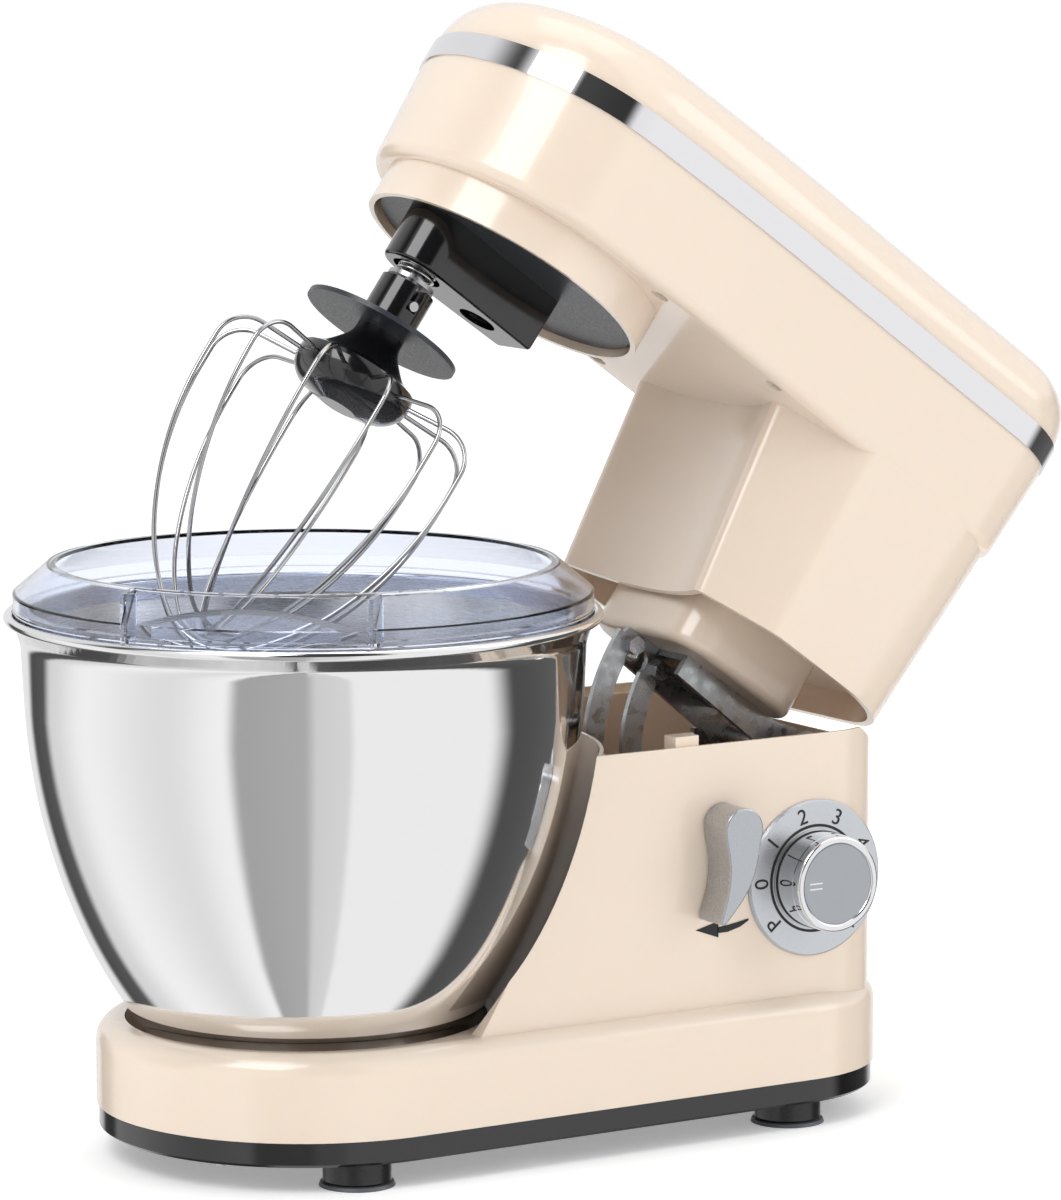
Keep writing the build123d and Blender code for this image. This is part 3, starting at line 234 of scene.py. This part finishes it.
# the arrow's curved stroke, from its tail: x, z and half its width
stroke = (
    (0.052, 0.0876, 0.0004),
    (0.048, 0.0862, 0.0011),
    (0.042, 0.0850, 0.0014),
    (0.037, 0.0848, 0.0012),
)
upper = [arrow_bm.verts.new((x, wall_y, z + half)) for x, z, half in stroke]
lower = [arrow_bm.verts.new((x, wall_y, z - half)) for x, z, half in stroke]
for i in range(len(stroke) - 1):
    arrow_bm.faces.new((upper[i], upper[i + 1], lower[i + 1], lower[i]))
arrow_head = ((0.0375, 0.0884), (0.0265, 0.0858), (0.0375, 0.0818))
arrow_bm.faces.new([arrow_bm.verts.new((x, wall_y, z)) for x, z in arrow_head])
bmesh.ops.recalc_face_normals(arrow_bm, faces=arrow_bm.faces)
bmesh.ops.solidify(arrow_bm, geom=arrow_bm.faces, thickness=0.0002)
add_piece("unlock_arrow", to_mesh(arrow_bm, "unlock_arrow"), print_and_shadow_black, "stand")
paint(screw_steel, "lever_shaft", "latch_cam")

# ---------------------------------------------------------------- bowl
# Spun from one stainless sheet 1 mm thick, with a rolled bead at the rim.
# It is mirror bright outside and brushed round inside.

bowl_low, bowl_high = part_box("bowl")
axis_x = (bowl_low.x + bowl_high.x) / 2
inner_brushed = new_finish(
    "brushed_steel", (0.6, 0.6, 0.61), 0.24, 1.0, grain=900, spread=0.1, bump=0.06, stretch=(0.12, 0.12, 3)
)
BOWL_WALL = 0.001
BOWL_LOW = 0.036
FLAT_R = 0.044
BOWL_BENDS = ((0.020, 50, 14), (0.200, 16, 14), (0.250, 21, 16))  # radius, turn in degrees, steps
BOWL_MOUTH = 0.0245  # straight run under the flare
BEAD_R = 0.116  # middle of the rolled bead
BEAD_Z = 0.214
BEAD_START = (0.1144, 0, 0.2128)


def run_on(bm, vert, centre, degrees, steps):
    """Carries a profile on from vert along an arc in the XZ plane and returns the last vertex."""
    made = bmesh.ops.spin(
        bm, geom=[vert], cent=centre, axis=(0, -1, 0), angle=radians(degrees), steps=steps,
        use_duplicate=False,
    )
    return [part for part in made["geom_last"] if isinstance(part, bmesh.types.BMVert)][0]


def line_on(bm, vert, offset):
    """Carries a profile on from vert in a straight line."""
    made = bmesh.ops.extrude_vert_indiv(bm, verts=[vert])["verts"][0]
    made.co = vert.co + Vector(offset)
    return made


def bowl_profile(bm, inset):
    """The bowl's section from its axis to the mouth, drawn in by inset."""
    vert = bm.verts.new((0, 0, BOWL_LOW + inset))
    vert = line_on(bm, vert, (FLAT_R, 0, 0))
    turned = 0
    for radius, turn, steps in BOWL_BENDS:
        aim = radians(turned)
        centre = vert.co + Vector((-sin(aim), 0, cos(aim))) * (radius - inset)
        vert = run_on(bm, vert, centre, turn, steps)
        turned += turn
    aim = radians(turned)
    return line_on(bm, vert, (cos(aim) * BOWL_MOUTH, 0, sin(aim) * BOWL_MOUTH))


bowl_bm = bmesh.new()
outer_end = bowl_profile(bowl_bm, 0)
outer_end = line_on(bowl_bm, outer_end, Vector(BEAD_START) - outer_end.co)
outer_end = run_on(bowl_bm, outer_end, Vector((BEAD_R, 0, BEAD_Z)), 335, 22)
inner_end = bowl_profile(bowl_bm, BOWL_WALL)
inner_end = line_on(bowl_bm, inner_end, outer_end.co - inner_end.co)
bmesh.ops.remove_doubles(bowl_bm, verts=bowl_bm.verts, dist=0.00001)
bmesh.ops.spin(
    bowl_bm, geom=bowl_bm.verts[:] + bowl_bm.edges[:], cent=(0, 0, 0), axis=(0, 0, 1), angle=2 * pi,
    steps=160, use_merge=True,
)
bmesh.ops.remove_doubles(bowl_bm, verts=bowl_bm.verts, dist=0.00001)
bmesh.ops.recalc_face_normals(bowl_bm, faces=bowl_bm.faces)
rim_z = 0.2118  # the brushing stops here
for face in bowl_bm.faces:
    face.smooth = True
    middle = face.calc_center_median()
    outward = Vector((middle.x, middle.y, 0)).normalized()
    looks_in = face.normal.dot(outward) < -0.02 or (face.normal.z > 0.9 and middle.z < 0.06)
    face.material_index = 1 if looks_in and middle.z < rim_z else 0
bmesh.ops.translate(bowl_bm, verts=bowl_bm.verts, vec=(axis_x, 0, 0))
bowl_mesh = to_mesh(bowl_bm, "steel_bowl")
bowl_mesh.materials.append(polished)
bowl_mesh.materials.append(inner_brushed)
add_piece("steel_bowl", bowl_mesh, None, "bowl", ["bowl"])
paint(polished, "bowl_foot_ring")

# ---------------------------------------------------------------- splash guard
# One moulding in clear plastic with a filling chute, which sits inside the bowl's rim.
# Its thick edges look faintly blue.

clear = new_finish("clear_guard", (0.86, 0.9, 1.0), 0.03, grain=40, spread=0.01, bump=0.004)
socket(clear, "Transmission Weight", 1.0)
socket(clear, "IOR", 1.45)
paint(clear, "splash_guard")

# ---------------------------------------------------------------- coil springs
# Three springs are wound from round steel wire. One turns the lever back, one is beside the lock plate
# and one is over the tool spindle. The last two are placed with the head shut, then raised with it.

hinge_low, hinge_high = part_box("hinge_pin")
hinge = (hinge_low + hinge_high) / 2
hinge.y = 0
HEAD_ANGLE = 35.5
tip_back = Matrix.Rotation(radians(HEAD_ANGLE), 4, "Y")
raise_head = Matrix.Translation(hinge) @ tip_back @ Matrix.Translation(-hinge)
along_y = Matrix.Rotation(-pi / 2, 4, "X")
spring_steel = new_finish("spring_steel", (0.62, 0.61, 0.6), 0.18, 1.0, grain=900, spread=0.06, bump=0.04)


def wind_spring(radius, wire, pitch, turns):
    """A coil about Z with capped ends; its first turn's wire is centred on z = 0."""
    bm = bmesh.new()
    place = Matrix.Translation((radius, 0, 0)) @ Matrix.Rotation(pi / 2, 4, "X")
    bmesh.ops.create_circle(bm, cap_ends=False, radius=wire, segments=10, matrix=place)
    rim = bm.edges[:]
    steps = 28 * turns
    made = bmesh.ops.spin(
        bm, geom=bm.verts[:] + rim, cent=(0, 0, 0), axis=(0, 0, 1), dvec=(0, 0, pitch * turns / steps),
        angle=2 * pi * turns, steps=steps, use_duplicate=False,
    )
    last = [part for part in made["geom_last"] if isinstance(part, bmesh.types.BMEdge)]
    bmesh.ops.contextual_create(bm, geom=rim)
    bmesh.ops.contextual_create(bm, geom=last)
    bmesh.ops.recalc_face_normals(bm, faces=bm.faces)
    for face in bm.faces:
        face.smooth = len(face.verts) == 4
    return bm


# name, node, body, place, then the coil's radius, wire radius, pitch and turns
springs = (
    (
        "lever_coil", "lever_spring", "stand",
        Matrix.Translation((axis_x + 0.146, -0.065, 0.129)) @ along_y, 0.005, 0.0006, 0.0016, 4,
    ),
    (
        "lift_coil", "return_spring", "head",
        raise_head @ Matrix.Translation((axis_x + 0.1465, 0.008, 0.1442)) @ along_y,
        0.0046, 0.0006, 0.0015, 6,
    ),
    (
        "spindle_coil", "spindle_spring", "spindle",
        raise_head @ Matrix.Translation((axis_x - 0.0345, 0, 0.21035)), 0.0076, 0.00075, 0.002, 4,
    ),
)
for name, node, body, place, radius, wire, pitch, turns in springs:
    coil_bm = wind_spring(radius, wire, pitch, turns)
    bmesh.ops.transform(coil_bm, verts=coil_bm.verts, matrix=place)
    add_piece(name, to_mesh(coil_bm, name), spring_steel, body, [node])

# ---------------------------------------------------------------- hinge
# Galvanised brackets, arms and slotted lock plate turn on a plain steel pin.
# The cream pod under the neck covers them from the front.

galvanised = new_finish("galvanised", (0.46, 0.48, 0.5), 0.32, 1.0, grain=220, spread=0.14, bump=0.08)
paint(galvanised, "hinge_brackets", "lock_quadrant", "hinge_arms")
paint(screw_steel, "hinge_pin", "quadrant_bolts")
paint(cream, "hinge_housing")

# ---------------------------------------------------------------- head
# Two cream mouldings meet behind a bright trim strip.
# Four screws in deep wells in the underside hold them together.

paint(cream, "head_lower_shell", "head_top_cover")
paint(chrome, "trim_strip")
paint(screw_steel, "head_screws")

# ---------------------------------------------------------------- drive inside the head
# A universal motor turns the carrier through a ribbed belt, and the pinion rolls in a fixed ring gear.
# All of it hangs on a die-cast plate, out of sight.

cast_metal = new_finish("cast_metal", (0.5, 0.5, 0.5), 0.45, 1.0, grain=700, spread=0.1, bump=0.15)
gear_plastic = new_finish("gear_plastic", (0.75, 0.72, 0.62), 0.4, grain=500, spread=0.05, bump=0.05)
belt_rubber = new_finish("belt_rubber", (0.02, 0.02, 0.02), 0.6, grain=600, spread=0.1, bump=0.2)
motor_iron = new_finish(
    "motor_iron", (0.2, 0.2, 0.21), 0.5, 1.0, grain=900, spread=0.1, bump=0.15, stretch=(1, 1, 4)
)
paint(cast_metal, "gear_chassis", "motor_frame")
paint(gear_plastic, "ring_gear", "planet_pinion", "carrier_pulley", "motor_pulley", "cooling_fan")
paint(belt_rubber, "drive_belt")
paint(motor_iron, "motor_stator", "motor_rotor")
paint(screw_steel, "carrier_bearings", "motor_shaft", "carrier_shaft")

# ---------------------------------------------------------------- planet disc and arm
# A dark satin disc turns under the skirt.
# The glossy black arm on it holds the bright steel tool spindle with its cross pin.

satin_dark = new_finish("satin_dark", (0.028, 0.032, 0.04), 0.34, grain=1200, spread=0.08, bump=0.08)
paint(satin_dark, "planet_disc", "whisk_disc")
paint(gloss_black, "planet_arm", "whisk_hub")
paint(screw_steel, "arm_screw", "spindle_shaft", "cross_pin", "spindle_washer")

# ---------------------------------------------------------------- whisk
# Six loops of bright stainless wire are moulded into a black hub,
# and each loop reaches a little lower than the one before, so that they cross freely at the tip.

wire_steel = new_finish("wire_steel", (0.5, 0.5, 0.51), 0.12, 1.0, grain=300, spread=0.05, bump=0.01)
paint(wire_steel, "whisk_wires")

# ---------------------------------------------------------------- studio
# A plain pale floor and a white backdrop, which reflections don't see, stand round the mixer.
# Its metal reflects a soft room of light panels with dark gaps. Three large lamps and the camera follow.

floor_bm = bmesh.new()
bmesh.ops.create_grid(floor_bm, x_segments=1, y_segments=1, size=40)
floor_mesh = to_mesh(floor_bm, "floor")
floor = bpy.data.objects.new("floor", floor_mesh)
bpy.context.scene.collection.objects.link(floor)
pale = new_finish("pale_floor", (0.92, 0.92, 0.92), 0.6, grain=3, spread=0.05, bump=0.0)
socket(pale, "Emission Color", (1, 1, 1, 1))
socket(pale, "Emission Strength", 0.3)
floor_mesh.materials.append(pale)
floor.visible_glossy = False

dome_bm = bmesh.new()
bmesh.ops.create_uvsphere(dome_bm, u_segments=48, v_segments=24, radius=30)
dome_mesh = to_mesh(dome_bm, "backdrop")
backdrop = bpy.data.objects.new("backdrop", dome_mesh)
bpy.context.scene.collection.objects.link(backdrop)
plain_white = new_finish("plain_white", (0, 0, 0), 0.9, grain=3, spread=0.05, bump=0.0)
socket(plain_white, "Emission Color", (1, 1, 1, 1))
socket(plain_white, "Emission Strength", 1.0)
dome_mesh.materials.append(plain_white)
backdrop.visible_glossy = False
backdrop.visible_diffuse = False
backdrop.visible_shadow = False

world = bpy.data.worlds.new("soft_room")
bpy.context.scene.world = world
world.use_nodes = True
sky = world.node_tree
background = sky.nodes["Background"]
heading = sky.nodes.new("ShaderNodeTexCoord")
parts = sky.nodes.new("ShaderNodeSeparateXYZ")
around = sky.nodes.new("ShaderNodeMath")
around.operation = "ARCTAN2"
turn = sky.nodes.new("ShaderNodeMapRange")
turn.inputs["From Min"].default_value = -pi
turn.inputs["From Max"].default_value = pi
sky.links.new(heading.outputs["Generated"], parts.inputs["Vector"])
sky.links.new(parts.outputs["Y"], around.inputs[0])
sky.links.new(parts.outputs["X"], around.inputs[1])
sky.links.new(around.outputs["Value"], turn.inputs["Value"])
CAMERA_TURN = 237.5  # direction of the camera from the object, in degrees


def ring_of_panels(panels):
    """Light and dark panels round the room, each a heading from the camera's in degrees and a brightness."""
    ramp = sky.nodes.new("ShaderNodeValToRGB")
    ramp.color_ramp.interpolation = "EASE"
    steps = ramp.color_ramp.elements
    for step in steps:
        step.color = (1, 1, 1, 1)
    for turn_from_camera, light in panels:
        step = steps.new(((CAMERA_TURN + turn_from_camera + 180) % 360) / 360)
        step.color = (light, light, light, 1)
    sky.links.new(turn.outputs["Result"], ramp.inputs["Fac"])
    return ramp


low_panels = ring_of_panels((
    (-155, 1.0), (-146, 0.1), (-134, 0.12), (-126, 0.9), (-100, 1.2), (-32, 1.2), (-25, 0.5), (2, 0.55),
    (8, 0.85), (20, 0.9), (24, 1.15), (84, 1.15), (100, 0.1), (140, 0.15), (160, 1.0),
))
high_panels = ring_of_panels((
    (-110, 1.0), (-75, 0.1), (-55, 1.2), (-14, 1.2), (-6, 0.08), (32, 0.05), (40, 1.1), (75, 1.3),
    (120, 1.2), (150, 1.0),
))
above = sky.nodes.new("ShaderNodeMapRange")
above.interpolation_type = "SMOOTHSTEP"
above.inputs["From Min"].default_value = 0.05
above.inputs["From Max"].default_value = 0.2
join = sky.nodes.new("ShaderNodeMix")
join.data_type = "RGBA"
sky.links.new(parts.outputs["Z"], above.inputs["Value"])
# the mix node's sockets for colours are inputs 6 and 7 and output 2
sky.links.new(above.outputs["Result"], join.inputs[0])
sky.links.new(low_panels.outputs["Color"], join.inputs[6])
sky.links.new(high_panels.outputs["Color"], join.inputs[7])
sky.links.new(join.outputs[2], background.inputs["Color"])
background.inputs["Strength"].default_value = 0.85

for name, spot, size, power in (
    ("key_light", (-1.3, -0.6, 1.9), 1.2, 19),
    ("side_light", (1.5, -1.2, 1.0), 0.9, 4),
    ("top_light", (0.3, 0.2, 2.2), 1.4, 6),
):
    lamp_data = bpy.data.lights.new(name, "AREA")
    lamp_data.size = size
    lamp_data.energy = power
    lamp = bpy.data.objects.new(name, lamp_data)
    bpy.context.scene.collection.objects.link(lamp)
    lamp.location = spot
    aim = Vector((0, 0, 0.2)) - lamp.location
    lamp.rotation_euler = aim.to_track_quat("-Z", "Y").to_euler()

camera_data = bpy.data.cameras.new("camera")
camera_data.lens = 174.4
camera = bpy.data.objects.new("camera", camera_data)
bpy.context.scene.collection.objects.link(camera)
camera.location = (axis_x - 1.13806, -1.95876, 0.53574)
look = Vector((axis_x + 0.1055, 0, 0.2115)) - camera.location
camera.rotation_euler = look.to_track_quat("-Z", "Y").to_euler()
camera_data.clip_end = 100
bpy.context.scene.camera = camera
bpy.context.scene.view_settings.view_transform = "Standard"
